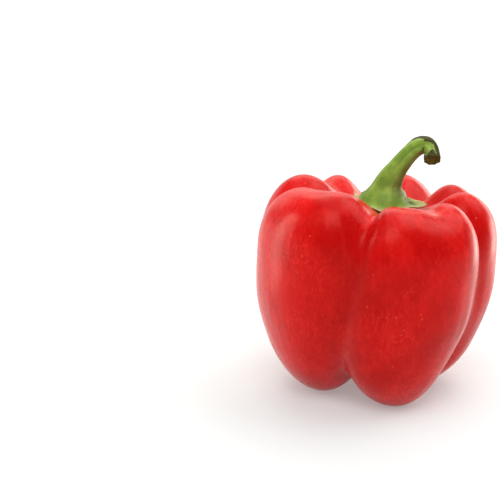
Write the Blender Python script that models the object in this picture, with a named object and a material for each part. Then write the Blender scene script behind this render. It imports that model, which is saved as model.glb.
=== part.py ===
"""A blocky bell pepper standing on its lobes: the fruit, its green calyx and its curved stem.

+Z is up, the front of the fruit faces -Y, and the origin lies on the resting surface under the
middle of the fruit. Lengths below are in millimetres and angles in degrees. Angles round the
fruit run from the front (-Y) towards +X.
"""

import bmesh
import bpy
import numpy as np

MM = 0.001

# Fruit
POD_RADIUS = 44.7  # out to the fullest lobe, at the waist
POD_HEIGHT = 79.0  # mean height of the lobe crests above the feet
SEAT_DEPTH = 9.4  # how far the stem's seat lies under the crests
SEAT_OFFSET = 1.8  # how far the seat lies to the right of the fruit's axis
GROOVE_DEPTH = 6.2  # how far a full groove cuts in at the waist
DIMPLE_DEPTH = 8.0  # how far the blossom end is drawn up between the feet
SOLE_DEPTH = 0.7  # how much each foot is flattened where it rests
GROOVE_ROUNDING = 0.12  # bottom of a groove, as a share of half a lobe's width

# Calyx
CALYX_RADIUS = 10.2  # between its teeth
CALYX_THICKNESS = 4.0  # under the stem
CALYX_RIM = 0.9  # thickness at its edge
CALYX_CURL = 0.8  # how far its edge turns up from the fruit

# Stem
STEM_BASE_RADIUS = 7.6  # where it stands on the calyx
STEM_RADIUS = 3.2  # at its thinnest
STEM_RISE = 18.0  # height of the bend's middle line above the calyx
STEM_REACH = 16.6  # how far it leans to the right
STEM_TURN = 6.0  # how far its end turns to the front
STEM_UPRIGHT = 0.2  # share of its length over which it comes up straight from its base
STEM_RIDGES = 5
STEM_RIDGE_HEIGHT = 0.35

FIT_GAP = 0.3  # between fruit, calyx and stem
SEAT_MARGIN = 0.4  # flat seat on the calyx past the stem's edge

# Each groove runs from the seat (first value) to the blossom end (last value): the angle that it
# follows, its depth, 1 being a full groove, and its tightness, a high one being a narrow crease.
GROOVES = (
    {"angle": (-5, -9.5, -18, -28, -30), "depth": (0.8, 1, 0.84, 0.85, 1), "tight": (5, 6, 5, 4.5, 3)},
    {"angle": (70, 69, 66, 61, 56), "depth": (1, 1, 1.1, 1, 1), "tight": (3, 4.5, 3, 2.8, 2.6)},
    {"angle": (135, 135, 137, 140, 140), "depth": (1, 1, 0.8, 0.7, 1), "tight": (3, 4, 2.6, 2.6, 2.6)},
    {"angle": (221, 221, 221, 220, 220), "depth": (0.6, 0.62, 0.6, 0.7, 1), "tight": (3, 4, 2.6, 2.6, 2.6)},
)

# A crease parts one lobe's shoulder into two: where it is, how far its sides reach, its depth from
# the seat to the blossom end, and its tightness.
CREASES = (
    {"angle": 36, "reach": 20, "depth": (0, 0.25, 0, 0, 0), "tight": 1.8},
    {"angle": 104, "reach": 18, "depth": (0.2, 0.6, 0.2, 0, 0), "tight": 2.2},
    {"angle": 189, "reach": 22, "depth": (0.4, 0.9, 0.25, 0, 0), "tight": 2.0},
    {"angle": 266, "reach": 22, "depth": (0.2, 0.45, 0.1, 0, 0), "tight": 2.2},
)

# How the lobes differ: crest above the mean height, shoulder and foot as shares of the mean
# radius, and how far the foot is lifted.
LOBES = (
    {"angle": 18, "crest": -3.0, "shoulder": 1.0, "foot": 1.0, "lift": -0.2},
    {"angle": 52, "crest": -2.5, "shoulder": 1.0, "foot": 0.91, "lift": 1.0},
    {"angle": 87, "crest": -4.7, "shoulder": 0.98, "foot": 0.93, "lift": 2.2},
    {"angle": 120, "crest": -5.2, "shoulder": 0.99, "foot": 0.93, "lift": 2.2},
    {"angle": 149, "crest": -6.2, "shoulder": 1.0, "foot": 1.0, "lift": 0.0},
    {"angle": 212, "crest": -6.6, "shoulder": 1.0, "foot": 1.0, "lift": 0.0},
    {"angle": 228, "crest": 1.0, "shoulder": 1.0, "foot": 1.0, "lift": 0.0},
    {"angle": 282, "crest": -1.6, "shoulder": 1.0, "foot": 1.02, "lift": -0.2},
    {"angle": 306, "crest": 1.3, "shoulder": 1.0, "foot": 1.0, "lift": 2.2},
    {"angle": 342, "crest": 3.8, "shoulder": 1.0, "foot": 0.98, "lift": 3.0},
)
LOBE_SHARPNESS = 14.0  # a high value keeps each lobe's own height to a narrow range of angles

# Teeth of the calyx, as angles round the fruit and lengths past its round edge.
TEETH = (
    (36, 1.4),
    (84, 6.5),
    (122, -0.2),
    (155, 1.6),
    (192, 2.8),
    (225, 3.6),
    (272, 8.3),
    (300, 2.0),
    (322, 3.6),
    (346, 2.6),
)
TOOTH_SHARPNESS = 30.0

# Middle line of the stem, as shares of its reach, its turn and its rise.
STEM_LINE = (
    (0.0, 0.0, 0.0),
    (0.06, 0.0, 0.165),
    (0.16, 0.0, 0.355),
    (0.275, 0.0, 0.515),
    (0.4, 0.0, 0.67),
    (0.525, 0.0, 0.81),
    (0.66, 0.0, 0.93),
    (0.81, 0.05, 1.0),
    (0.955, 0.33, 0.98),
    (1.0, 1.0, 0.78),
)
# How the stem narrows from its base (1) to its thinnest (0), evenly along it.
STEM_FLARE = (1.0, 0.52, 0.27, 0.12, 0.06, 0.02, 0.0, -0.03, -0.08, -0.12)

# Facets: round each piece, and from one pole of it to the other.
FRUIT_FACETS = (84, 42)
CALYX_FACETS = (72, 20)
STEM_FACETS = (30, 32)


def spline(points, share):
    """A smooth curve through evenly spaced points, read at a share of its length."""
    points = np.asarray(points, float)
    count = len(points)
    system = np.eye(count)
    target = np.zeros_like(points)
    for i in range(1, count - 1):
        system[i, i - 1 : i + 2] = (1, 4, 1)
        target[i] = 6 * (points[i - 1] - 2 * points[i] + points[i + 1])
    bend = np.linalg.solve(system, target)
    place = np.clip(share, 0, 1) * (count - 1)
    i = np.minimum(place.astype(int), count - 2)
    b = place - i
    if points.ndim > 1:
        b = b[..., None]
    a = 1 - b
    chord = points[i] * a + points[i + 1] * b
    return chord + (bend[i] * (a**3 - a) + bend[i + 1] * (b**3 - b)) / 6


def smooth_step(value):
    value = np.clip(value, 0, 1)
    return value * value * (3 - 2 * value)


def rounded(share, radius):
    """The share itself, from 0 to 1, with its corner at 0 rounded off."""
    return (np.hypot(share, radius) - radius) / (np.hypot(1, radius) - radius)


def lobe_outline():
    """Half outline over the crown of a lobe, from the seat down to the blossom end."""
    r, h, dimple = POD_RADIUS, POD_HEIGHT, DIMPLE_DEPTH
    seat = h - SEAT_DEPTH
    return np.array(
        [
            (0, seat),
            (0.2 * r, seat),
            (0.38 * r, seat + 0.36 * SEAT_DEPTH),
            (0.56 * r, h - 0.05 * SEAT_DEPTH),
            (0.74 * r, h),
            (0.9 * r, 0.93 * h),
            (0.985 * r, 0.81 * h),
            (r, 0.66 * h),
            (0.99 * r, 0.48 * h),
            (0.925 * r, 0.315 * h),
            (0.805 * r, 0.15 * h),
            (0.615 * r, 0.03 * h),
            (0.4 * r, 0.005 * h),
            (0.18 * r, 0.75 * dimple),
            (0, dimple),
        ]
    )


def groove_outline():
    """Half outline along the bottom of a full groove, beside the lobe outline point by point."""
    r, h, g, dimple = POD_RADIUS, POD_HEIGHT, GROOVE_DEPTH, DIMPLE_DEPTH
    seat = h - SEAT_DEPTH
    return np.array(
        [
            (0, seat),
            (0.2 * r, seat - 0.03 * SEAT_DEPTH),
            (0.38 * r, seat),
            (0.56 * r, seat + 0.15 * SEAT_DEPTH),
            (0.74 * r - 0.34 * g, seat + 0.05 * SEAT_DEPTH),
            (0.9 * r - 0.7 * g, 0.823 * h),
            (0.985 * r - 0.9 * g, 0.71 * h),
            (r - g, 0.57 * h),
            (0.99 * r - 1.08 * g, 0.43 * h),
            (0.925 * r - 1.1 * g, 0.304 * h),
            (0.805 * r - 1.05 * g, 2 * dimple),
            (0.615 * r - 0.65 * g, 1.4 * dimple),
            (0.4 * r - 0.3 * g, dimple),
            (0.18 * r, dimple),
            (0, dimple),
        ]
    )


def groove_share(degrees, down):
    """How deep the grooves cut in, at an angle and a share of the way down: 0 none, 1 full."""
    share = np.zeros_like(degrees)
    for here, after in zip(GROOVES, GROOVES[1:] + GROOVES[:1]):
        start = spline(here["angle"], down)
        width = np.mod(spline(after["angle"], down) - start, 360)
        past = np.mod(degrees - start, 360)
        near_start = past < width / 2
        side = np.clip(np.where(near_start, past, width - past) / (width / 2), 0, 1)
        depth = np.where(near_start, spline(here["depth"], down), spline(after["depth"], down))
        tightness = np.where(near_start, spline(here["tight"], down), spline(after["tight"], down))
        cut = np.maximum(depth, 0) * (1 - rounded(side, GROOVE_ROUNDING)) ** tightness
        share = np.where(past < width, cut, share)
    for crease in CREASES:
        away = np.abs(np.mod(degrees - crease["angle"] + 180, 360) - 180)
        side = np.clip(away / crease["reach"], 0, 1)
        depth = np.clip(spline(crease["depth"], down), 0, 1)
        cut = depth * (1 - rounded(side, 1.5 * GROOVE_ROUNDING)) ** crease["tight"]
        share = 1 - (1 - share) * (1 - cut)
    return share


def lobe_value(angle, name):
    """One of the lobes' own values, blended between the lobes round the fruit."""
    near = [np.exp(LOBE_SHARPNESS * (np.cos(angle - np.radians(lobe["angle"])) - 1)) for lobe in LOBES]
    return sum(weight * lobe[name] for weight, lobe in zip(near, LOBES)) / sum(near)


def fruit_skin(angle, down):
    """Points of the fruit's skin, at angles in radians and shares of the way from the seat over
    the crest and down to the blossom end."""
    full = lobe_outline()
    cut = groove_outline()
    share = groove_share(np.degrees(angle), down)[..., None]
    outline = spline(full, down) * (1 - share) + spline(cut, down) * share
    radius, height = outline[..., 0], outline[..., 1]
    # Shares of the way down over which the crest, the shoulder and the foot count.
    at_crest = spline((0, 0.3, 1, 1, 0.9, 0.7, 0.45, 0.2, 0.05, 0, 0, 0, 0), down)
    at_shoulder = spline((0, 0.3, 0.8, 1, 1, 1, 0.6, 0.3, 0, 0, 0), down)
    at_foot = spline((0, 0, 0, 0, 0, 0.1, 0.4, 0.8, 1, 1, 0.5), down)
    at_sole = spline((0, 0, 0, 0, 0, 0, 0.1, 0.4, 0.8, 1, 1, 0.6, 0.2), down)
    radius = radius * (
        1 + (lobe_value(angle, "shoulder") - 1) * at_shoulder + (lobe_value(angle, "foot") - 1) * at_foot
    )
    height = height + lobe_value(angle, "crest") * at_crest + lobe_value(angle, "lift") * at_sole
    x = radius * np.sin(angle) + SEAT_OFFSET * (1 - down) ** 4
    y = -radius * np.cos(angle)
    return np.stack([x, y, np.maximum(height - SOLE_DEPTH, 0)], -1)


def fruit_top(angle, radius):
    """Points of the fruit's top round its seat, at angles and distances from the seat's middle."""
    down = np.linspace(0, 0.25, 51)
    radii = spline(lobe_outline(), down)[:, 0]
    return fruit_skin(angle, np.interp(radius, radii, down))


def calyx_seat_height():
    """Height of the flat seat on the calyx that the stem stands on."""
    middle = fruit_top(np.zeros(1), np.zeros(1))[0]
    return middle[2] + FIT_GAP + CALYX_THICKNESS


def calyx_skin(angle, down):
    """Points of the calyx, from the middle of its top out to its edge and back underneath."""
    out = 1 - np.abs(1 - 2 * down)
    seat = (STEM_BASE_RADIUS + SEAT_MARGIN) / CALYX_RADIUS
    past_seat = np.clip((out - seat) / (1 - seat), 0, 1)
    teeth = sum(
        length * np.exp(TOOTH_SHARPNESS * (np.cos(angle - np.radians(at)) - 1)) for at, length in TEETH
    )
    points = fruit_top(angle, out * CALYX_RADIUS + teeth * past_seat**2)
    under = points[..., 2] + FIT_GAP + CALYX_CURL * past_seat**3
    rim = np.where(out < 1, CALYX_RIM, CALYX_RIM / 2)
    slope = (1 - past_seat) ** 1.6
    top = calyx_seat_height() * slope + (under + rim) * (1 - slope)
    points[..., 2] = np.where(down <= 0.5, top, under)
    return points


def stem_skin(angle, down):
    """Points of the stem, from the middle of its cut end down its side and under its base."""
    along = 1 - down
    base, cut = 2 / STEM_FACETS[1], 1 - 3 / STEM_FACETS[1]
    share = np.clip((along - base) / (cut - base), 0, 1)
    size = np.array((STEM_REACH, -STEM_TURN, STEM_RISE))
    middle = spline(STEM_LINE, share) * size
    step = 0.01
    heading = (spline(STEM_LINE, share + step) - spline(STEM_LINE, share - step)) * size
    heading[..., :2] *= smooth_step(share / STEM_UPRIGHT)[..., None]
    heading /= np.linalg.norm(heading, axis=-1, keepdims=True)
    back = np.array((0.0, 1.0, 0.0))
    across = np.cross(back, heading)
    across /= np.linalg.norm(across, axis=-1, keepdims=True)
    behind = np.cross(heading, across)
    flare = spline(STEM_FLARE, share)
    ridge = STEM_RIDGE_HEIGHT * (1 + flare) * np.cos(STEM_RIDGES * angle)
    fill = np.clip(np.minimum(along / base, (1 - along) / (1 - cut)), 0, 1)
    radius = (STEM_RADIUS + (STEM_BASE_RADIUS - STEM_RADIUS) * flare + ridge) * np.sqrt(fill)
    rim = np.sin(angle)[..., None] * across - np.cos(angle)[..., None] * behind
    return middle + radius[..., None] * rim


def shaped_sphere(name, facets, skin, material):
    """A closed solid: a sphere's points, each moved to where the skin has it."""
    round_it, pole_to_pole = facets
    shape = bmesh.new()
    bmesh.ops.create_uvsphere(shape, u_segments=round_it, v_segments=pole_to_pole, radius=1)
    sphere = np.array([vertex.co for vertex in shape.verts])
    angle = np.arctan2(sphere[:, 0], -sphere[:, 1])
    down = np.round(np.arccos(np.clip(sphere[:, 2], -1, 1)) / np.pi * pole_to_pole) / pole_to_pole
    for vertex, point in zip(shape.verts, skin(angle, down)):
        vertex.co = point * MM
    mesh = bpy.data.meshes.new(name)
    shape.to_mesh(mesh)
    shape.free()
    mesh.shade_smooth()
    mesh.materials.append(material)
    return bpy.data.objects.new(name, mesh)


def plain_material(name, colour, roughness):
    material = bpy.data.materials.new(name)
    material.use_nodes = True
    surface = material.node_tree.nodes["Principled BSDF"]
    surface.inputs["Base Color"].default_value = (*colour, 1)
    surface.inputs["Roughness"].default_value = roughness
    surface.inputs["Metallic"].default_value = 0
    material.diffuse_color = (*colour, 1)
    return material


def middle_of(thing):
    """Middle of an object's outline as seen from above, in metres."""
    corners = np.array([vertex.co for vertex in thing.data.vertices])
    return (corners.min(axis=0) + corners.max(axis=0))[:2] / 2


def main():
    for thing in list(bpy.data.objects):
        bpy.data.objects.remove(thing, do_unlink=True)
    red = plain_material("fruit_skin", (0.58, 0.012, 0.01), 0.28)
    leaf_green = plain_material("calyx_green", (0.17, 0.27, 0.05), 0.6)
    stem_green = plain_material("stem_green", (0.22, 0.34, 0.06), 0.55)

    fruit = shaped_sphere("fruit", FRUIT_FACETS, fruit_skin, red)
    calyx = shaped_sphere("calyx", CALYX_FACETS, calyx_skin, leaf_green)
    stem = shaped_sphere("stem", STEM_FACETS, stem_skin, stem_green)

    # The calyx and the stem are placed on the fruit, and all three so that the fruit is centred.
    fruit.location[:2] = -middle_of(fruit)
    calyx.parent = fruit
    stem.parent = fruit
    stem.location = (SEAT_OFFSET * MM, 0, (calyx_seat_height() + FIT_GAP) * MM)

    pepper = bpy.data.collections.new("bell_pepper")
    bpy.context.scene.collection.children.link(pepper)
    for piece in (fruit, calyx, stem):
        pepper.objects.link(piece)


if __name__ == "__main__":
    main()
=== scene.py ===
"""The looks of the bell pepper: its fine skin, calyx and stem, their materials and the studio.

Each piece has the form of the CAD node that it stands for, at a finer step and with the small
forms that the CAD leaves out, and is fitted to that node's box. Lengths are in millimetres until
a mesh is made, and angles in degrees round the fruit from the front (-Y) towards +X.
"""

import math

import bmesh
import bpy
import numpy as np
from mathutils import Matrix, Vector


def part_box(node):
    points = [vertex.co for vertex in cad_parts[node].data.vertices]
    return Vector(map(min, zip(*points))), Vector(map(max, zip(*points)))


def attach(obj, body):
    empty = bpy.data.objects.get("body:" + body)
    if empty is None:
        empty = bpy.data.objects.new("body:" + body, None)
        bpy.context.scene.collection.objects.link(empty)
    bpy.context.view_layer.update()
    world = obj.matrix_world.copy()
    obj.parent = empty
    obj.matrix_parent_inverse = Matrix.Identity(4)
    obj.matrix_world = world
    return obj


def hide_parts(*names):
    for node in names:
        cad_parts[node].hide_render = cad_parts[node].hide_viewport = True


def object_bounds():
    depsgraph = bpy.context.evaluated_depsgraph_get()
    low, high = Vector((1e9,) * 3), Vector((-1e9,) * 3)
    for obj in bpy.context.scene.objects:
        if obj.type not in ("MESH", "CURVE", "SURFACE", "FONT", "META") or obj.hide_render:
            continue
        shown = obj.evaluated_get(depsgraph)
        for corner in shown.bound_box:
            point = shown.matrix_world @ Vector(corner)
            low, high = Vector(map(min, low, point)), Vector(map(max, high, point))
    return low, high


MM = 0.001

# Fruit, calyx and stem, as in the part.
POD_RADIUS = 44.7
POD_HEIGHT = 79.0
SEAT_DEPTH = 9.4
SEAT_OFFSET = 1.8
GROOVE_DEPTH = 6.2
DIMPLE_DEPTH = 8.0
SOLE_DEPTH = 0.7
GROOVE_ROUNDING = 0.12

CALYX_RADIUS = 10.2
CALYX_THICKNESS = 4.0
CALYX_RIM = 0.9
CALYX_CURL = 0.8

STEM_BASE_RADIUS = 7.6
STEM_RADIUS = 3.2
STEM_RISE = 18.0
STEM_REACH = 16.6
STEM_TURN = 6.0
STEM_UPRIGHT = 0.2
STEM_RIDGES = 5
STEM_RIDGE_HEIGHT = 0.35
STEM_FOOT = 2 / 32  # share of the stem's rows that close its base
STEM_END = 3 / 32  # share that close its cut end

FIT_GAP = 0.3
SEAT_MARGIN = 0.4

GROOVES = (
    {"angle": (-5, -9.5, -18, -28, -30), "depth": (0.8, 1, 0.84, 0.85, 1), "tight": (5, 6, 5, 4.5, 3)},
    {"angle": (70, 69, 66, 61, 56), "depth": (1, 1, 1.1, 1, 1), "tight": (3, 4.5, 3, 2.8, 2.6)},
    {"angle": (135, 135, 137, 140, 140), "depth": (1, 1, 0.8, 0.7, 1), "tight": (3, 4, 2.6, 2.6, 2.6)},
    {"angle": (221, 221, 221, 220, 220), "depth": (0.6, 0.62, 0.6, 0.7, 1), "tight": (3, 4, 2.6, 2.6, 2.6)},
)
CREASES = (
    {"angle": 36, "reach": 20, "depth": (0, 0.25, 0, 0, 0), "tight": 1.8},
    {"angle": 104, "reach": 18, "depth": (0.2, 0.6, 0.2, 0, 0), "tight": 2.2},
    {"angle": 189, "reach": 22, "depth": (0.4, 0.9, 0.25, 0, 0), "tight": 2.0},
    {"angle": 266, "reach": 22, "depth": (0.2, 0.45, 0.1, 0, 0), "tight": 2.2},
)
LOBES = (
    {"angle": 18, "crest": -3.0, "shoulder": 1.0, "foot": 1.0, "lift": -0.2},
    {"angle": 52, "crest": -2.5, "shoulder": 1.0, "foot": 0.91, "lift": 1.0},
    {"angle": 87, "crest": -4.7, "shoulder": 0.98, "foot": 0.93, "lift": 2.2},
    {"angle": 120, "crest": -5.2, "shoulder": 0.99, "foot": 0.93, "lift": 2.2},
    {"angle": 149, "crest": -6.2, "shoulder": 1.0, "foot": 1.0, "lift": 0.0},
    {"angle": 212, "crest": -6.6, "shoulder": 1.0, "foot": 1.0, "lift": 0.0},
    {"angle": 228, "crest": 1.0, "shoulder": 1.0, "foot": 1.0, "lift": 0.0},
    {"angle": 282, "crest": -1.6, "shoulder": 1.0, "foot": 1.02, "lift": -0.2},
    {"angle": 306, "crest": 1.3, "shoulder": 1.0, "foot": 1.0, "lift": 2.2},
    {"angle": 342, "crest": 3.8, "shoulder": 1.0, "foot": 0.98, "lift": 3.0},
)
LOBE_SHARPNESS = 14.0
TEETH = (
    (36, 1.4),
    (84, 6.5),
    (122, -0.2),
    (155, 1.6),
    (192, 2.8),
    (225, 3.6),
    (272, 8.3),
    (300, 2.0),
    (322, 3.6),
    (346, 2.6),
)
RIGHT_TOOTH = TEETH[1]
TOOTH_SHARPNESS = 30.0
STEM_LINE = (
    (0.0, 0.0, 0.0),
    (0.06, 0.0, 0.165),
    (0.16, 0.0, 0.355),
    (0.275, 0.0, 0.515),
    (0.4, 0.0, 0.67),
    (0.525, 0.0, 0.81),
    (0.66, 0.0, 0.93),
    (0.81, 0.05, 1.0),
    (0.955, 0.33, 0.98),
    (1.0, 1.0, 0.78),
)
STEM_FLARE = (1.0, 0.52, 0.27, 0.12, 0.06, 0.02, 0.0, -0.03, -0.08, -0.12)

# Fine forms that only the looks have.
SKIN_DENT = 0.07  # shallow, broad unevenness of the fruit
DENT_LENGTH = 26  # from one such dent to the next
SKIN_FURROW = 0.03  # faint upright furrows on its flanks
FURROW_LENGTH = 5.5  # from one furrow to the next
SEAT_PLEAT = 0.22  # pleats of the skin round the calyx
PLEAT_LENGTH = 7.5  # from one pleat to the next
SCAR_RADIUS = 2.2  # blossom scar under the fruit
SCAR_DEPTH = 0.8
PIT_SHADE_END = 0.17  # share of the way down at which the painted shade deep in the grooves ends
SEAT_SHADE_END = 0.1  # and the painted shade all round under the calyx
CALYX_CURLS = (  # angles round the fruit, and how far the calyx's edge lifts off it there
    (84, 1.2),
    (125, 2.2),
    (155, 3.0),
    (192, 3.0),
    (225, 1.6),
    (272, 0.3),
    (318, 0.1),
    (350, 0.2),
    (36, 0.4),
)
CURL_SHARPNESS = 12  # a high value keeps each lift to a narrow range of angles
CALYX_CUP = 0.7  # height of the turned-up edges of its right-hand tooth
CUP_SHARPNESS = 110  # a high value makes the hollow between those edges narrow
HOLLOW_SHARPNESS = 45  # the same for the painted shade in the hollow at that tooth's tip
CALYX_JAG = 0.35  # unevenness of the calyx's edge
CALYX_VEIN = 0.3  # height of the vein down the middle of each tooth
VEIN_SHARPNESS = 500  # a high value makes the veins narrow
CALYX_MARGIN = 0.35  # thickness of its dry edge
CALYX_GRAIN = 0.05  # roughness of its top
STEM_RIDGE_RISE = 0.36  # how far the stem's ridges stand out
STEM_GRAIN = 0.07  # fine roughness along the stem
STEM_WAVER = 0.12  # slow unevenness of its thickness
STEM_LIP = 0.1  # swelling just short of the cut end
CORK_RISE = 0.3  # how far the corky skin on the bend stands out
CORK_START = 0.52  # share of the stem's length where it begins, on the outside of the bend
CORK_ROUND = 0.945  # share from which it goes all the way round
INSIDE_BEND = 58  # side of the stem that lies inside its bend, in degrees
STEM_HOLLOW = 0.7  # how far the cut end has shrunk in
STEM_RAG = 0.12  # unevenness of the cut
STEM_SUNK = 1.2  # how far the stem's foot has grown into the calyx
STEM_SKIRT = 0.4  # how far it spreads there
SEAM_SLOPE = 42  # how far up the skin faces where stem and calyx meet, in degrees
SEAM_OUT = 0.55  # share of the calyx past the stem over which it turns to face that way
SEAM_UP = 0.16  # share of the stem's length over which it does

RIPPLE_WAVES = 28  # waves that add up to an unevenness

# Steps round each piece, and from one pole of it to the other.
FRUIT_STEPS = (440, 260)
CALYX_STEPS = (420, 96)
STEM_STEPS = (160, 256)

# The camera: its elevation in degrees, its distance in metres and what it looks at.
VIEW_ELEVATION = 18.0
VIEW_DISTANCE = 0.75
VIEW_LENS = 144.72
VIEW_SENSOR = 36
VIEW_CENTRE = (-0.526, 0.5213)  # the point it looks at, in widths and heights of the pepper

WAX_GLOSS = 0.3  # how strongly all three pieces reflect

# Colours of the fruit's skin.
DEEP_RED = (0.45, 0.001, 0.001)
BRIGHT_RED = (0.56, 0.002, 0.002)
STREAK_RED = (0.72, 0.012, 0.010)
MOTTLE_RED = (0.82, 0.022, 0.016)
# painted shade: the grooves are drawn darker than the crests
GROOVE_SHADE_RED = (0.32, 0.001, 0.001)
PIT_SHADE_RED = (0.10, 0.003, 0.002)  # painted shade deep in the grooves round the calyx and all round under it
SPECK_PINK = (0.86, 0.13, 0.09)
SCAR_BROWN = (0.16, 0.07, 0.03)
SKIN_GLOSS_TINT = (1.0, 0.36, 0.3, 1.0)  # the waxy skin's reflections are salmon, not white

# Colours of the calyx and the stem.
DEEP_GREEN = (0.120, 0.235, 0.024)
BRIGHT_GREEN = (0.225, 0.345, 0.045)
FIBRE_GREEN = (0.10, 0.16, 0.016)
SEAT_SHADE_GREEN = (0.075, 0.12, 0.010)  # painted shade on the calyx next to the stem
BLOT_GREEN = (0.05, 0.09, 0.014)
# painted shade in the cupped hollow of the right-hand tooth
HOLLOW_SHADE_GREEN = (0.025, 0.055, 0.010)
UNDERSIDE_GREEN = (0.2, 0.2, 0.05)
DRY_EDGE = (0.44, 0.36, 0.16)
# painted shade in the furrows between the stem's ridges
FURROW_SHADE_GREEN = (0.085, 0.12, 0.01)
SHADED_GREEN = (0.075, 0.10, 0.008)  # on the inside of the stem's bend
# painted highlight along the crests of the stem's ridges
RIDGE_HIGHLIGHT_GREEN = (0.33, 0.42, 0.14)
CORK_FRINGE = (0.36, 0.38, 0.16)
DARK_CORK = (0.016, 0.017, 0.004)
PALE_CORK = (0.090, 0.082, 0.024)
DARK_PITH = (0.034, 0.028, 0.004)
PALE_PITH = (0.21, 0.18, 0.028)
GREEN_GLOSS_TINT = (1.0, 0.95, 0.55, 1.0)

# The studio, in metres.
FLOOR_REACH = 20.0  # from the fruit to the floor's edges
FLOOR_GREY = (0.46, 0.49, 0.49)
FLOOR_PALE_GREY = (0.48, 0.51, 0.51)
FLOOR_GLOSS = 0.1
FLOOR_DISC = 2.0  # radius of the dimmer floor round the fruit
FLOOR_GLOW = 0.28  # the floor is lit from beneath too, as on a light table, which keeps shadows pale
FAR_FLOOR_GLOW = 0.9
WORLD_LIGHT = 0.3
WHITE = (1.0, 1.0, 1.0)
WARM = (1.0, 0.93, 0.84)  # of the lights that the skin reflects from the sides and behind

# Each light: azimuth (0 in front of the fruit, 90 at its right), elevation, distance from the
# fruit, width and height, radiance and colour.
LIGHTS = {
    "top_light": (0, 90, 1.0, (1.0, 1.0), 1.4, WHITE),
    "front_light": (-10, 50, 1.2, (0.7, 0.7), 4.3, WHITE),
    "front_left_light": (-60, 42, 1.2, (0.7, 0.7), 0.8, WHITE),
    "rear_light": (180, 45, 1.1, (0.9, 0.6), 2.6, WARM),
    "low_rear_light": (180, 15, 1.1, (0.9, 0.35), 0.9, WARM),
    "left_light": (-105, 14, 0.7, (0.2, 0.32), 6.5, WARM),
    "low_left_light": (-98, -5, 0.18, (0.05, 0.09), 3.2, WARM),
    "left_rear_light": (-148, 14, 1.0, (0.25, 0.3), 1.2, WARM),
    "high_right_light": (100, 55, 1.1, (0.8, 0.8), 3.0, WHITE),
    "right_light": (112, 4, 0.7, (0.16, 0.26), 2.6, WARM),
    "low_right_light": (118, -9, 0.19, (0.08, 0.11), 5.0, WARM),
    "right_rear_light": (142, 14, 1.0, (0.6, 0.45), 3.9, WARM),
}


def spline(points, share):
    """A smooth curve through evenly spaced points, read at a share of its length."""
    points = np.asarray(points, float)
    count = len(points)
    system = np.eye(count)
    target = np.zeros_like(points)
    for i in range(1, count - 1):
        system[i, i - 1 : i + 2] = (1, 4, 1)
        target[i] = 6 * (points[i - 1] - 2 * points[i] + points[i + 1])
    bend = np.linalg.solve(system, target)
    place = np.clip(share, 0, 1) * (count - 1)
    i = np.minimum(place.astype(int), count - 2)
    b = place - i
    if points.ndim > 1:
        b = b[..., None]
    a = 1 - b
    chord = points[i] * a + points[i + 1] * b
    return chord + (bend[i] * (a**3 - a) + bend[i + 1] * (b**3 - b)) / 6


def smooth_step(value):
    value = np.clip(value, 0, 1)
    return value * value * (3 - 2 * value)


def rounded(share, radius):
    """The share itself, from 0 to 1, with its corner at 0 rounded off."""
    return (np.hypot(share, radius) - radius) / (np.hypot(1, radius) - radius)


def bump_at(value, middle, width):
    """1 at the middle value, falling away to 0 on both sides of it."""
    return np.exp(-(((value - middle) / width) ** 2))


def ripples(points, length, seed):
    """A smooth, even unevenness about 0, with bumps about half of that length across."""
    draws = np.random.default_rng(seed)
    heading = draws.normal(size=(RIPPLE_WAVES, 3))
    heading /= np.linalg.norm(heading, axis=1, keepdims=True)
    waves = heading * (2 * np.pi / (length * draws.uniform(0.7, 1.5, (RIPPLE_WAVES, 1))))
    phase = draws.uniform(0, 2 * np.pi, RIPPLE_WAVES)
    return np.cos(points @ waves.T + phase).sum(-1) / math.sqrt(RIPPLE_WAVES / 2)


# ---- Fruit ----


def lobe_outline():
    """Half outline over the crown of a lobe, from the seat down to the blossom end."""
    r, h, dimple = POD_RADIUS, POD_HEIGHT, DIMPLE_DEPTH
    seat = h - SEAT_DEPTH
    return np.array(
        [
            (0, seat),
            (0.2 * r, seat),
            (0.38 * r, seat + 0.36 * SEAT_DEPTH),
            (0.56 * r, h - 0.05 * SEAT_DEPTH),
            (0.74 * r, h),
            (0.9 * r, 0.93 * h),
            (0.985 * r, 0.81 * h),
            (r, 0.66 * h),
            (0.99 * r, 0.48 * h),
            (0.925 * r, 0.315 * h),
            (0.805 * r, 0.15 * h),
            (0.615 * r, 0.03 * h),
            (0.4 * r, 0.005 * h),
            (0.18 * r, 0.75 * dimple),
            (0, dimple),
        ]
    )


def groove_outline():
    """Half outline along the bottom of a full groove, beside the lobe outline point by point."""
    r, h, g, dimple = POD_RADIUS, POD_HEIGHT, GROOVE_DEPTH, DIMPLE_DEPTH
    seat = h - SEAT_DEPTH
    return np.array(
        [
            (0, seat),
            (0.2 * r, seat - 0.03 * SEAT_DEPTH),
            (0.38 * r, seat),
            (0.56 * r, seat + 0.15 * SEAT_DEPTH),
            (0.74 * r - 0.34 * g, seat + 0.05 * SEAT_DEPTH),
            (0.9 * r - 0.7 * g, 0.823 * h),
            (0.985 * r - 0.9 * g, 0.71 * h),
            (r - g, 0.57 * h),
            (0.99 * r - 1.08 * g, 0.43 * h),
            (0.925 * r - 1.1 * g, 0.304 * h),
            (0.805 * r - 1.05 * g, 2 * dimple),
            (0.615 * r - 0.65 * g, 1.4 * dimple),
            (0.4 * r - 0.3 * g, dimple),
            (0.18 * r, dimple),
            (0, dimple),
        ]
    )


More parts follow.
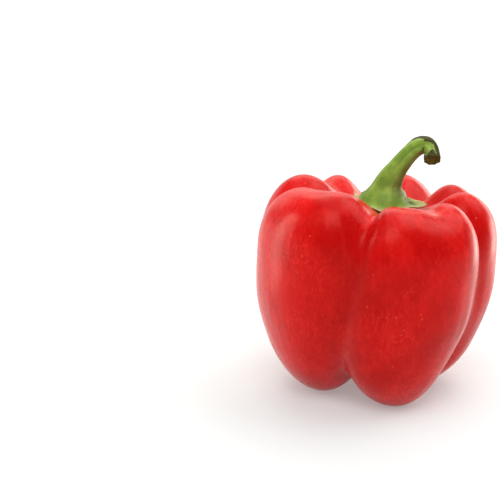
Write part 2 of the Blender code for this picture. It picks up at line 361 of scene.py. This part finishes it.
def groove_share(degrees, down):
    """How deep the grooves cut in, at an angle and a share of the way down: 0 none, 1 full."""
    share = np.zeros_like(degrees)
    for here, after in zip(GROOVES, GROOVES[1:] + GROOVES[:1]):
        start = spline(here["angle"], down)
        width = np.mod(spline(after["angle"], down) - start, 360)
        past = np.mod(degrees - start, 360)
        near_start = past < width / 2
        side = np.clip(np.where(near_start, past, width - past) / (width / 2), 0, 1)
        depth = np.where(near_start, spline(here["depth"], down), spline(after["depth"], down))
        tightness = np.where(near_start, spline(here["tight"], down), spline(after["tight"], down))
        cut = np.maximum(depth, 0) * (1 - rounded(side, GROOVE_ROUNDING)) ** tightness
        share = np.where(past < width, cut, share)
    for crease in CREASES:
        away = np.abs(np.mod(degrees - crease["angle"] + 180, 360) - 180)
        side = np.clip(away / crease["reach"], 0, 1)
        depth = np.clip(spline(crease["depth"], down), 0, 1)
        cut = depth * (1 - rounded(side, 1.5 * GROOVE_ROUNDING)) ** crease["tight"]
        share = 1 - (1 - share) * (1 - cut)
    return share


def lobe_value(angle, name):
    """One of the lobes' own values, blended between the lobes round the fruit."""
    near = [np.exp(LOBE_SHARPNESS * (np.cos(angle - np.radians(lobe["angle"])) - 1)) for lobe in LOBES]
    return sum(weight * lobe[name] for weight, lobe in zip(near, LOBES)) / sum(near)


def fruit_skin(angle, down):
    """Points of the fruit's skin, from the seat over the crest and down to the blossom end."""
    full = lobe_outline()
    cut = groove_outline()
    share = groove_share(np.degrees(angle), down)[..., None]
    outline = spline(full, down) * (1 - share) + spline(cut, down) * share
    radius, height = outline[..., 0], outline[..., 1]
    at_crest = spline((0, 0.3, 1, 1, 0.9, 0.7, 0.45, 0.2, 0.05, 0, 0, 0, 0), down)
    at_shoulder = spline((0, 0.3, 0.8, 1, 1, 1, 0.6, 0.3, 0, 0, 0), down)
    at_foot = spline((0, 0, 0, 0, 0, 0.1, 0.4, 0.8, 1, 1, 0.5), down)
    at_sole = spline((0, 0, 0, 0, 0, 0, 0.1, 0.4, 0.8, 1, 1, 0.6, 0.2), down)
    radius = radius * (
        1 + (lobe_value(angle, "shoulder") - 1) * at_shoulder + (lobe_value(angle, "foot") - 1) * at_foot
    )
    height = height + lobe_value(angle, "crest") * at_crest + lobe_value(angle, "lift") * at_sole
    x = radius * np.sin(angle) + SEAT_OFFSET * (1 - down) ** 4
    y = -radius * np.cos(angle)
    return np.stack([x, y, np.maximum(height - SOLE_DEPTH, 0)], -1)


def fruit_top(angle, radius):
    """Points of the fruit's top round its seat, at angles and distances from the seat's middle."""
    down = np.linspace(0, 0.25, 51)
    radii = spline(lobe_outline(), down)[:, 0]
    return fruit_skin(angle, np.interp(radius, radii, down))


def fruit_relief(points, down):
    """How far the skin's small forms stand out from its plain form."""
    clear_of_sole = smooth_step(points[:, 2] / 6)
    clear_of_seat = smooth_step((down - 0.05) / 0.08)
    dents = SKIN_DENT * ripples(points, DENT_LENGTH, seed=3)
    upright = points * (1, 1, 0.16)
    furrows = SKIN_FURROW * ripples(upright, FURROW_LENGTH, seed=5) * smooth_step((down - 0.25) / 0.2)
    steep = points * (1, 1, 0.3)
    pleats = SEAT_PLEAT * bump_at(down, 0.13, 0.06) * ripples(steep, PLEAT_LENGTH, seed=8)
    return (dents + furrows) * clear_of_sole * clear_of_seat + pleats * clear_of_seat


# ---- Calyx ----


def calyx_seat_height():
    """Height of the flat seat on the calyx that the stem stands on."""
    middle = fruit_top(np.zeros(1), np.zeros(1))[0]
    return middle[2] + FIT_GAP + CALYX_THICKNESS


def tooth_share(angle, at, sharpness):
    """From 1 at a tooth's angle down to 0, the faster the higher the sharpness is."""
    return np.exp(sharpness * (np.cos(angle - np.radians(at)) - 1))


def calyx_shares(down):
    """Shares of the way out from the calyx's middle to its edge, and from the stem's seat to it."""
    out = 1 - np.abs(1 - 2 * down)
    seat = (STEM_BASE_RADIUS + SEAT_MARGIN) / CALYX_RADIUS
    return out, np.clip((out - seat) / (1 - seat), 0, 1)


def teeth_length(angle):
    """How far the calyx reaches past its round edge."""
    return sum(length * tooth_share(angle, at, TOOTH_SHARPNESS) for at, length in TEETH)


def calyx_skin(angle, down):
    """Points of the plain calyx, from the middle of its top to its edge and back underneath."""
    out, past_seat = calyx_shares(down)
    points = fruit_top(angle, out * CALYX_RADIUS + teeth_length(angle) * past_seat**2)
    under = points[..., 2] + FIT_GAP + CALYX_CURL * past_seat**3
    rim = np.where(out < 1, CALYX_RIM, CALYX_RIM / 2)
    slope = (1 - past_seat) ** 1.6
    top = calyx_seat_height() * slope + (under + rim) * (1 - slope)
    points[..., 2] = np.where(down <= 0.5, top, under)
    return points


def cup_share(angle, past_seat):
    """How far the edges of the right-hand tooth turn up round its hollow middle."""
    middle, _ = RIGHT_TOOTH
    beside = tooth_share(angle, middle, CURL_SHARPNESS) * (1 - tooth_share(angle, middle, CUP_SHARPNESS))
    return beside * smooth_step(past_seat / 0.6) * 2


def fine_calyx_skin(angle, down):
    """Points of the calyx with its veins, its uneven margin and its upturned edge."""
    out, past_seat = calyx_shares(down)
    teeth = teeth_length(angle)
    circle = 10 * np.stack([np.cos(angle), np.sin(angle), 0 * angle], -1)
    jag = CALYX_JAG * (0.7 * ripples(circle, 5.0, seed=21) + 0.5 * ripples(circle, 2.2, seed=22))
    points = fruit_top(angle, out * CALYX_RADIUS + (teeth + jag) * past_seat**2)
    near = [tooth_share(angle, at, CURL_SHARPNESS) for at, _ in CALYX_CURLS]
    curl = sum(weight * rise for weight, (_, rise) in zip(near, CALYX_CURLS)) / sum(near)
    curl = curl * (1 + 0.3 * ripples(circle, 6.0, seed=23) * past_seat)
    cup = CALYX_CUP * cup_share(angle, past_seat)
    under = points[..., 2] + FIT_GAP + np.maximum(curl, 0.1) * past_seat**2.6 + cup
    margin = CALYX_MARGIN + (CALYX_RIM - CALYX_MARGIN) * (1 - past_seat) ** 0.7
    rim = np.where(out < 1, margin, margin / 2)
    slope = (1 - past_seat) ** (1.15 + 0.5 * curl + 0.28 * np.maximum(teeth, 0))
    veins = sum(tooth_share(angle, at, VEIN_SHARPNESS) for at, _ in TEETH)
    veins = CALYX_VEIN * veins * past_seat * (1 - past_seat**4)
    grain = CALYX_GRAIN * ripples(points, 1.8, seed=24) * (1 - past_seat**6)
    top = calyx_seat_height() * slope + (under + rim) * (1 - slope) + veins + grain
    points[..., 2] = np.where(down <= 0.5, top, under)
    return points


# ---- Stem ----


def stem_frame(share):
    """Middle of the stem at a share of its length, and its directions along, across and behind."""
    size = np.array((STEM_REACH, -STEM_TURN, STEM_RISE))
    middle = spline(STEM_LINE, share) * size
    step = 0.01
    heading = (spline(STEM_LINE, share + step) - spline(STEM_LINE, share - step)) * size
    heading[..., :2] *= smooth_step(share / STEM_UPRIGHT)[..., None]
    heading /= np.linalg.norm(heading, axis=-1, keepdims=True)
    back = np.array((0.0, 1.0, 0.0))
    across = np.cross(back, heading)
    across /= np.linalg.norm(across, axis=-1, keepdims=True)
    return middle, heading, across, np.cross(heading, across)


def stem_share(along):
    """Share of the stem's length, at a share of the way from the middle of its base to that of its
    cut end."""
    return np.clip((along - STEM_FOOT) / (1 - STEM_END - STEM_FOOT), 0, 1)


def stem_rim(angle, along, radius, across, behind):
    """The way from the stem's middle line out to its skin, and over its two ends."""
    fill = np.clip(np.minimum(along / STEM_FOOT, (1 - along) / STEM_END), 0, 1)
    way_out = np.sin(angle)[..., None] * across - np.cos(angle)[..., None] * behind
    return (radius * np.sqrt(fill))[..., None] * way_out


def stem_skin(angle, down):
    """Points of the plain stem, from the middle of its cut end down its side and under its base."""
    along = 1 - down
    share = stem_share(along)
    middle, _, across, behind = stem_frame(share)
    flare = spline(STEM_FLARE, share)
    ridge = STEM_RIDGE_HEIGHT * (1 + flare) * np.cos(STEM_RIDGES * angle)
    radius = STEM_RADIUS + (STEM_BASE_RADIUS - STEM_RADIUS) * flare + ridge
    return middle + stem_rim(angle, along, radius, across, behind)


def stem_wave(angle, share):
    """From 1 on the stem's ridges to -1 in the hollows between them."""
    return np.cos(STEM_RIDGES * (angle - 0.2) + 0.5 * np.sin(4 * share))


def cork_share(angle, share):
    """Where the stem is corky: along the outside of its bend and round its cut end."""
    circle = 3 * np.stack([np.cos(angle), np.sin(angle), 9 * share], -1)
    ragged = 0.045 * ripples(circle, 2.2, seed=35)
    turn = 0.35 - 0.6 * smooth_step((share - 0.75) / 0.15)
    outer = -np.sin(angle + turn) + 0.8 * (share - 0.8) + ragged
    strip = smooth_step((outer - 0.66) / 0.28) * smooth_step((share - CORK_START) / 0.2)
    return np.maximum(strip, smooth_step((share + 0.3 * ragged - CORK_ROUND) / 0.04))


def fine_stem_skin(angle, down):
    """Points of the stem with sharper ridges, its grain and its shrunken, ragged cut end."""
    along = 1 - down
    share = stem_share(along)
    middle, heading, across, behind = stem_frame(share)
    flare = spline(STEM_FLARE, share)
    wave = stem_wave(angle, share)
    ridge = STEM_RIDGE_RISE * (0.6 + 0.6 * flare) * (wave - 0.2 * (1 - wave**2))
    ridge *= 1 - 0.7 * smooth_step((share - 0.8) / 0.15)
    ridge *= 0.5 + 0.5 * smooth_step(share / 0.12)
    circle = 3 * np.stack([np.cos(angle), np.sin(angle), 2 * share], -1)
    grain = STEM_GRAIN * ripples(circle * (1, 1, 0.35), 1.5, seed=31)
    waver = STEM_WAVER * ripples(circle, 5, seed=32)
    lip = STEM_LIP * bump_at(share, 0.985, 0.02)
    skirt = STEM_SKIRT * np.clip(1 - share / 0.12, 0, 1) ** 2
    cork = CORK_RISE * cork_share(angle, share) * (1 + 0.35 * ripples(circle, 2.0, seed=34))
    radius = STEM_RADIUS + (STEM_BASE_RADIUS - STEM_RADIUS) * flare
    radius = radius + ridge + grain + waver + lip + skirt + cork
    points = middle + stem_rim(angle, along, radius, across, behind)
    points[..., 2] -= STEM_SUNK * smooth_step(1 - share / 0.04)
    in_end = smooth_step(np.clip((along - 1 + STEM_END) / STEM_END, 0, 1) * 2.2)
    ragged = STEM_RAG * ripples(points, 1.6, seed=33)
    return points - heading * (in_end * (STEM_HOLLOW + ragged))[..., None]


# ---- Meshes ----


def sphere_places(steps):
    """A mesh joined up as a sphere is, with the angle and the share of the way down of its points."""
    around, rows = steps
    angle = np.tile(np.arange(around) * 2 * np.pi / around, rows - 1)
    down = np.repeat(np.arange(1, rows) / rows, around)
    here = np.arange((rows - 2) * around).reshape(rows - 2, around)
    beside = np.roll(here, -1, axis=1)
    quads = np.stack([here, here + around, beside + around, beside], -1).reshape(-1, 4)
    top, bottom = len(angle), len(angle) + 1
    last = (rows - 2) * around
    caps = [(top, i, (i + 1) % around) for i in range(around)]
    caps += [(bottom, last + (i + 1) % around, last + i) for i in range(around)]
    angle = np.append(angle, (0, 0))
    down = np.append(down, (0, 1))
    mesh = bpy.data.meshes.new("skin")
    mesh.from_pydata(np.zeros((len(angle), 3)), [], quads.tolist() + caps)
    return mesh, angle, down


def fitted(points, plain, node):
    """The points moved as the plain form is moved to fill its CAD node's box, in metres."""
    low, high = (np.array(corner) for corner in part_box(node))
    size = plain.max(axis=0) - plain.min(axis=0)
    return (points - plain.min(axis=0)) / size * (high - low) + low


def set_points(mesh, points):
    mesh.vertices.foreach_set("co", points.astype(np.float32).ravel())
    mesh.update()


def normals_of(mesh):
    normals = np.empty(len(mesh.vertices) * 3, np.float32)
    mesh.vertex_normals.foreach_get("vector", normals)
    return normals.reshape(-1, 3)


def mark(mesh, **values):
    """Keeps a number per point, which the piece's material reads by its name."""
    for name, value in values.items():
        kept = mesh.attributes.new(name, "FLOAT", "POINT")
        kept.data.foreach_set("value", np.broadcast_to(value, len(mesh.vertices)).astype(np.float32))


def piece(name, mesh, node, material):
    """An object that stands for a CAD node, with the given material, and hides that node."""
    mesh.shade_smooth()
    mesh.materials.append(material)
    made = bpy.data.objects.new(name, mesh)
    bpy.context.scene.collection.objects.link(made)
    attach(made, "root")
    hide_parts(node)
    return made


def blend_seam(mesh, angle, share):
    """Turns the normals, by each point's share, to one slope where the stem grows out of the calyx."""
    slope = math.radians(SEAM_SLOPE)
    facing = np.stack([np.sin(angle), -np.cos(angle), np.full_like(angle, math.tan(slope))], -1)
    facing /= np.linalg.norm(facing, axis=-1, keepdims=True)
    normals = normals_of(mesh) * (1 - share)[:, None] + facing * share[:, None]
    normals /= np.linalg.norm(normals, axis=-1, keepdims=True)
    mesh.normals_split_custom_set_from_vertices(normals)


def make_fruit(material):
    mesh, angle, down = sphere_places(FRUIT_STEPS)
    plain = fruit_skin(angle, down)
    set_points(mesh, plain)
    relief = fruit_relief(plain, down)
    points = plain + normals_of(mesh) * relief[:, None]
    from_scar = np.hypot(points[:, 0], points[:, 1]) / SCAR_RADIUS
    at_bottom = down > 0.8
    scar = np.where(at_bottom, np.exp(-(from_scar**2)), 0)
    points[:, 2] -= SCAR_DEPTH * scar * (1 + 0.3 * ripples(points, 1.2, seed=11))
    set_points(mesh, fitted(points, plain, "fruit"))
    groove = groove_share(np.degrees(angle), down)
    # painted shade: darker deep in the grooves near the calyx and all round under it
    pit = 0.8 * smooth_step(groove / 0.5) * smooth_step((PIT_SHADE_END - down) / 0.05)
    pit = np.maximum(pit, smooth_step((SEAT_SHADE_END - down) / 0.03))
    mark(mesh, groove=groove, scar=scar, pit=pit)
    return piece("pepper_skin", mesh, "fruit", material)


def make_calyx(material):
    mesh, angle, down = sphere_places(CALYX_STEPS)
    plain = calyx_skin(angle, down)
    points = fine_calyx_skin(angle, down)
    set_points(mesh, fitted(points, plain, "calyx"))
    out, past_seat = calyx_shares(down)
    middle, _ = RIGHT_TOOTH
    # painted shade: where the right-hand tooth's tip cups into a hollow
    hollow = tooth_share(angle, middle, HOLLOW_SHARPNESS) * smooth_step((out - 0.74) / 0.06)
    hollow *= smooth_step((0.97 - out) / 0.06)
    mark(mesh, edge=smooth_step((out - 0.88) / 0.12), under=down > 0.5, out=out, hollow=hollow)
    made = piece("calyx_leaf", mesh, "calyx", material)
    blend_seam(mesh, angle, np.where(down < 0.5, smooth_step(1 - past_seat / SEAM_OUT), 0))
    return made


def make_stem(material):
    mesh, angle, down = sphere_places(STEM_STEPS)
    plain = stem_skin(angle, down)
    points = fine_stem_skin(angle, down)
    set_points(mesh, fitted(points, plain, "stem"))
    along = 1 - down
    share = stem_share(along)
    cut = smooth_step((along - (1 - STEM_END)) / 0.01)
    ridge = 0.5 + 0.5 * stem_wave(angle, share)
    inside_bend = bump_at(np.mod(angle, 2 * np.pi), np.radians(INSIDE_BEND), 0.5)
    mark(mesh, cork=cork_share(angle, share), cut=cut, ridge=ridge, shade=inside_bend)
    made = piece("stem_stalk", mesh, "stem", material)
    blend_seam(mesh, angle, np.where(share > 0, smooth_step(1 - share / SEAM_UP), 0))
    return made


# ---- Materials ----


class Shader:
    """A material's node tree, with one short call for each kind of node that it needs."""

    def __init__(self, name):
        self.material = bpy.data.materials.new(name)
        self.material.use_nodes = True
        self.tree = self.material.node_tree
        self.surface = self.tree.nodes["Principled BSDF"]
        self.place = self.add("ShaderNodeTexCoord").outputs["Object"]

    def add(self, kind, **settings):
        node = self.tree.nodes.new(kind)
        for key, value in settings.items():
            setattr(node, key, value)
        return node

    def put(self, socket, value):
        """Links a node's output to a socket, or sets the socket to a plain value."""
        if isinstance(value, bpy.types.NodeSocket):
            self.tree.links.new(value, socket)
        else:
            socket.default_value = value

    def mesh_value(self, name):
        """The number that the mesh keeps under that name."""
        return self.add("ShaderNodeAttribute", attribute_name=name).outputs["Fac"]

    def stretched(self, scale):
        """Places with each axis scaled, so that a pattern there is drawn out along the others."""
        node = self.add("ShaderNodeMapping")
        self.put(node.inputs["Vector"], self.place)
        self.put(node.inputs["Scale"], scale)
        return node.outputs["Vector"]

    def noise(self, size, detail=2.0, rough=0.5, where=None, warp=0.0):
        """Noise from 0 to 1 with blobs about that size in millimetres."""
        node = self.add("ShaderNodeTexNoise")
        self.put(node.inputs["Vector"], where or self.place)
        self.put(node.inputs["Scale"], 1 / (size * MM))
        self.put(node.inputs["Detail"], detail)
        self.put(node.inputs["Roughness"], rough)
        self.put(node.inputs["Distortion"], warp)
        return node.outputs["Fac"]

    def cells(self, size):
        """Distance from scattered points that lie about that far apart, in millimetres."""
        node = self.add("ShaderNodeTexVoronoi")
        self.put(node.inputs["Vector"], self.place)
        self.put(node.inputs["Scale"], 1 / (size * MM))
        return node.outputs["Distance"]

    def span(self, value, low, high, to_low=0.0, to_high=1.0):
        """The value with low..high brought smoothly to to_low..to_high, and held outside it."""
        node = self.add("ShaderNodeMapRange", interpolation_type="SMOOTHSTEP")
        for name, given in zip(
            ("Value", "From Min", "From Max", "To Min", "To Max"), (value, low, high, to_low, to_high)
        ):
            self.put(node.inputs[name], given)
        return node.outputs["Result"]

    def combine(self, operation, a, b):
        """The result of an operation on two values, at least one of them from a node."""
        node = self.add("ShaderNodeMath", operation=operation)
        self.put(node.inputs[0], a)
        self.put(node.inputs[1], b)
        return node.outputs["Value"]

    def mix(self, share, a, b):
        """Colour a, with that share of it given over to colour b."""
        node = self.add("ShaderNodeMix", data_type="RGBA")
        self.put(node.inputs["Factor"], share)
        self.put(node.inputs["A"], a if isinstance(a, bpy.types.NodeSocket) else (*a, 1))
        self.put(node.inputs["B"], b if isinstance(b, bpy.types.NodeSocket) else (*b, 1))
        return node.outputs["Result"]

    def bump(self, height, depth, after=None):
        """A bump of that depth in millimetres over the height's range from 0 to 1."""
        node = self.add("ShaderNodeBump")
        self.put(node.inputs["Height"], height)
        self.put(node.inputs["Distance"], depth * MM)
        if after is not None:
            self.put(node.inputs["Normal"], after)
        return node.outputs["Normal"]

    def finish(self, **sockets):
        for name, value in sockets.items():
            self.put(self.surface.inputs[name.replace("_", " ")], value)
        return self.material


def skin_material():
    s = Shader("pepper_red_skin")
    upright = s.stretched((1, 1, 0.4))
    flecked = s.span(s.noise(22, 1), 0.4, 0.62, 0.25, 1)
    colour = s.mix(s.span(s.noise(20, 2), 0.35, 0.65), DEEP_RED, BRIGHT_RED)
    streaks = s.span(s.noise(4.5, 4, 0.6, upright, 0.4), 0.48, 0.75)
    colour = s.mix(s.combine("MULTIPLY", streaks, 0.5), colour, STREAK_RED)
    mottle = s.span(s.noise(1.0, 3, 0.6, s.stretched((1, 1, 0.6))), 0.45, 0.72)
    colour = s.mix(s.combine("MULTIPLY", mottle, s.combine("MULTIPLY", flecked, 0.6)), colour, MOTTLE_RED)
    # painted shade: darker red the deeper the groove
    colour = s.mix(s.combine("MULTIPLY", s.mesh_value("groove"), 0.3), colour, GROOVE_SHADE_RED)
    specks = s.span(s.cells(3.0), 0.07, 0.13, 1, 0)
    specks = s.combine("MULTIPLY", specks, s.span(s.noise(12, 1), 0.5, 0.58))
    colour = s.mix(s.combine("MULTIPLY", specks, 0.5), colour, SPECK_PINK)
    # painted shade in the grooves round the calyx and under it
    colour = s.mix(s.mesh_value("pit"), colour, PIT_SHADE_RED)
    scar = s.span(s.mesh_value("scar"), 0.12, 0.5)
    colour = s.mix(scar, colour, SCAR_BROWN)
    rough = s.span(s.noise(2.4, 3, 0.6, upright), 0.3, 0.7, 0.24, 0.32)
    dull = s.combine("MAXIMUM", scar, s.mesh_value("pit"))
    rough = s.combine("MAXIMUM", rough, s.combine("MULTIPLY", dull, 0.8))
    normal = s.bump(s.noise(0.9, 2, 0.5), 0.016)
    normal = s.bump(s.noise(3.5, 3, 0.55, upright), 0.04, normal)
    return s.finish(
        Base_Color=colour,
        Roughness=rough,
        Normal=normal,
        Specular_IOR_Level=WAX_GLOSS,
        Specular_Tint=SKIN_GLOSS_TINT,
    )


def green_colour(s):
    """The green that the calyx and the stem share, so that the one runs on into the other."""
    colour = s.mix(s.span(s.noise(4.0, 3, 0.55), 0.35, 0.7), DEEP_GREEN, BRIGHT_GREEN)
    fibres = s.span(s.noise(0.9, 3, 0.6, s.stretched((1, 1, 0.3))), 0.5, 0.8, 0, 0.3)
    return s.mix(fibres, colour, FIBRE_GREEN)


def calyx_material():
    s = Shader("calyx_green_leaf")
    colour = green_colour(s)
    past_seat = s.span(s.mesh_value("out"), 0.78, 0.95)
    blots = s.combine("MULTIPLY", s.span(s.noise(0.8, 3, 0.6), 0.5, 0.75, 0, 0.6), past_seat)
    colour = s.mix(blots, colour, BLOT_GREEN)
    # painted shade on the calyx round the stem's foot
    colour = s.mix(s.span(s.mesh_value("out"), 0.78, 0.95, 0.3, 0), colour, SEAT_SHADE_GREEN)
    # painted shade in the hollow of the right-hand tooth
    colour = s.mix(s.combine("MULTIPLY", s.mesh_value("hollow"), 0.9), colour, HOLLOW_SHADE_GREEN)
    dry = s.combine("MULTIPLY", s.mesh_value("edge"), s.span(s.noise(1.6, 3), 0.3, 0.6, 0.6, 1))
    colour = s.mix(dry, colour, DRY_EDGE)
    colour = s.mix(s.combine("MULTIPLY", s.mesh_value("under"), 0.5), colour, UNDERSIDE_GREEN)
    rough = s.span(s.noise(1.4, 3), 0.3, 0.7, 0.42, 0.65)
    normal = s.bump(s.noise(0.6, 3, 0.6), 0.08)
    return s.finish(
        Base_Color=colour,
        Roughness=rough,
        Normal=normal,
        Specular_IOR_Level=WAX_GLOSS,
        Specular_Tint=GREEN_GLOSS_TINT,
    )


def stem_material():
    s = Shader("stem_green_stalk")
    colour = green_colour(s)
    # painted shade: darker in the furrows between the ridges
    colour = s.mix(s.span(s.mesh_value("ridge"), 0.0, 0.6, 0.2, 0), colour, FURROW_SHADE_GREEN)
    colour = s.mix(s.combine("MULTIPLY", s.mesh_value("shade"), 0.8), colour, SHADED_GREEN)
    # painted highlight: paler on the crests of the ridges
    colour = s.mix(s.span(s.mesh_value("ridge"), 0.85, 1.0, 0, 0.2), colour, RIDGE_HIGHLIGHT_GREEN)
    cork_rough = s.span(s.noise(0.7, 4, 0.7), 0.3, 0.7)
    cork_colour = s.mix(cork_rough, DARK_CORK, PALE_CORK)
    torn = s.span(s.noise(0.5, 4, 0.6), 0.3, 0.7, -0.25, 0.25)
    torn = s.span(s.combine("ADD", s.mesh_value("cork"), torn), 0.42, 0.6)
    pale = s.span(s.mesh_value("cork"), 0.05, 0.35, 0, 0.4)
    colour = s.mix(pale, colour, CORK_FRINGE)
    colour = s.mix(torn, colour, cork_colour)
    pith = s.mix(s.span(s.noise(0.6, 4, 0.7), 0.35, 0.65), DARK_PITH, PALE_PITH)
    colour = s.mix(s.mesh_value("cut"), colour, pith)
    rough = s.span(s.noise(1.4, 3), 0.3, 0.7, 0.32, 0.52)
    rough = s.combine("MAXIMUM", rough, s.combine("MULTIPLY", s.mesh_value("cork"), 0.85))
    normal = s.bump(s.noise(0.6, 3, 0.6, s.stretched((1, 1, 0.3))), 0.08)
    normal = s.bump(s.combine("MULTIPLY", cork_rough, s.mesh_value("cork")), 0.25, normal)
    return s.finish(
        Base_Color=colour,
        Roughness=rough,
        Normal=normal,
        Specular_IOR_Level=WAX_GLOSS,
        Specular_Tint=GREEN_GLOSS_TINT,
    )


def floor_material():
    s = Shader("studio_white")
    tone = s.mix(s.span(s.noise(300, 2), 0.3, 0.7), FLOOR_GREY, FLOOR_PALE_GREY)
    disc = s.add("ShaderNodeTexGradient", gradient_type="SPHERICAL")
    s.put(disc.inputs["Vector"], s.stretched((1 / FLOOR_DISC,) * 3))
    return s.finish(
        Base_Color=tone,
        Roughness=0.5,
        Specular_IOR_Level=FLOOR_GLOSS,
        Emission_Color=(*WHITE, 1),
        Emission_Strength=s.span(disc.outputs["Fac"], 0.3, 0.75, FAR_FLOOR_GLOW, FLOOR_GLOW),
    )


# ---- Studio ----


def make_floor():
    mesh = bpy.data.meshes.new("studio_floor")
    shape = bmesh.new()
    bmesh.ops.create_grid(shape, x_segments=8, y_segments=8, size=FLOOR_REACH)
    shape.to_mesh(mesh)
    shape.free()
    mesh.materials.append(floor_material())
    floor = bpy.data.objects.new("studio_floor", mesh)
    bpy.context.scene.collection.objects.link(floor)


def softbox(name, middle, azimuth, elevation, distance, size, radiance, colour):
    """A rectangular light that faces the middle and shows that radiance over its whole face."""
    turn, rise = math.radians(azimuth), math.radians(elevation)
    towards = Vector((math.sin(turn) * math.cos(rise), -math.cos(turn) * math.cos(rise), math.sin(rise)))
    light = bpy.data.lights.new(name, "AREA")
    light.shape = "RECTANGLE"
    light.size, light.size_y = size
    light.energy = radiance * math.pi * size[0] * size[1]
    light.color = colour
    lamp = bpy.data.objects.new(name, light)
    lamp.location = middle + towards * distance
    lamp.rotation_euler = (-towards).to_track_quat("-Z", "Y").to_euler()
    lamp.visible_camera = False
    bpy.context.scene.collection.objects.link(lamp)


def make_lights(middle):
    for name, light in LIGHTS.items():
        softbox(name, middle, *light)
    world = bpy.data.worlds.new("studio")
    world.use_nodes = True
    background = world.node_tree.nodes["Background"]
    background.inputs["Color"].default_value = (*WHITE, 1)
    background.inputs["Strength"].default_value = WORLD_LIGHT
    bpy.context.scene.world = world
    bpy.context.scene.view_settings.view_transform = "Standard"


def make_camera(size):
    """A camera in front of the pepper, with the pepper at the right of its view."""
    tilt = math.radians(VIEW_ELEVATION)
    right, up = VIEW_CENTRE[0] * size[0], VIEW_CENTRE[1] * size[2]
    data = bpy.data.cameras.new("view")
    data.lens = VIEW_LENS
    data.sensor_width = VIEW_SENSOR
    camera = bpy.data.objects.new("view", data)
    raise_to = Vector((0, math.sin(tilt), math.cos(tilt))) * up
    back = Vector((0, -math.cos(tilt), math.sin(tilt))) * VIEW_DISTANCE
    camera.location = Vector((right, 0, 0)) + raise_to + back
    camera.rotation_euler = (math.radians(90) - tilt, 0, 0)
    bpy.context.scene.collection.objects.link(camera)
    bpy.context.scene.camera = camera


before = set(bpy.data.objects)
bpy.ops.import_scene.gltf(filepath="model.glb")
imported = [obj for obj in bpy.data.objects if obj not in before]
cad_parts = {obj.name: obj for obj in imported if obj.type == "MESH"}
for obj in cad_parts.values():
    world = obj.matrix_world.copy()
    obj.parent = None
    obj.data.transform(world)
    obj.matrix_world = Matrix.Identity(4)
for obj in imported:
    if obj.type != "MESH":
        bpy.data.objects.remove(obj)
cad_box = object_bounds()

make_camera(cad_box[1] - cad_box[0])
make_fruit(skin_material())
make_calyx(calyx_material())
make_stem(stem_material())
make_floor()
make_lights((cad_box[0] + cad_box[1]) / 2)
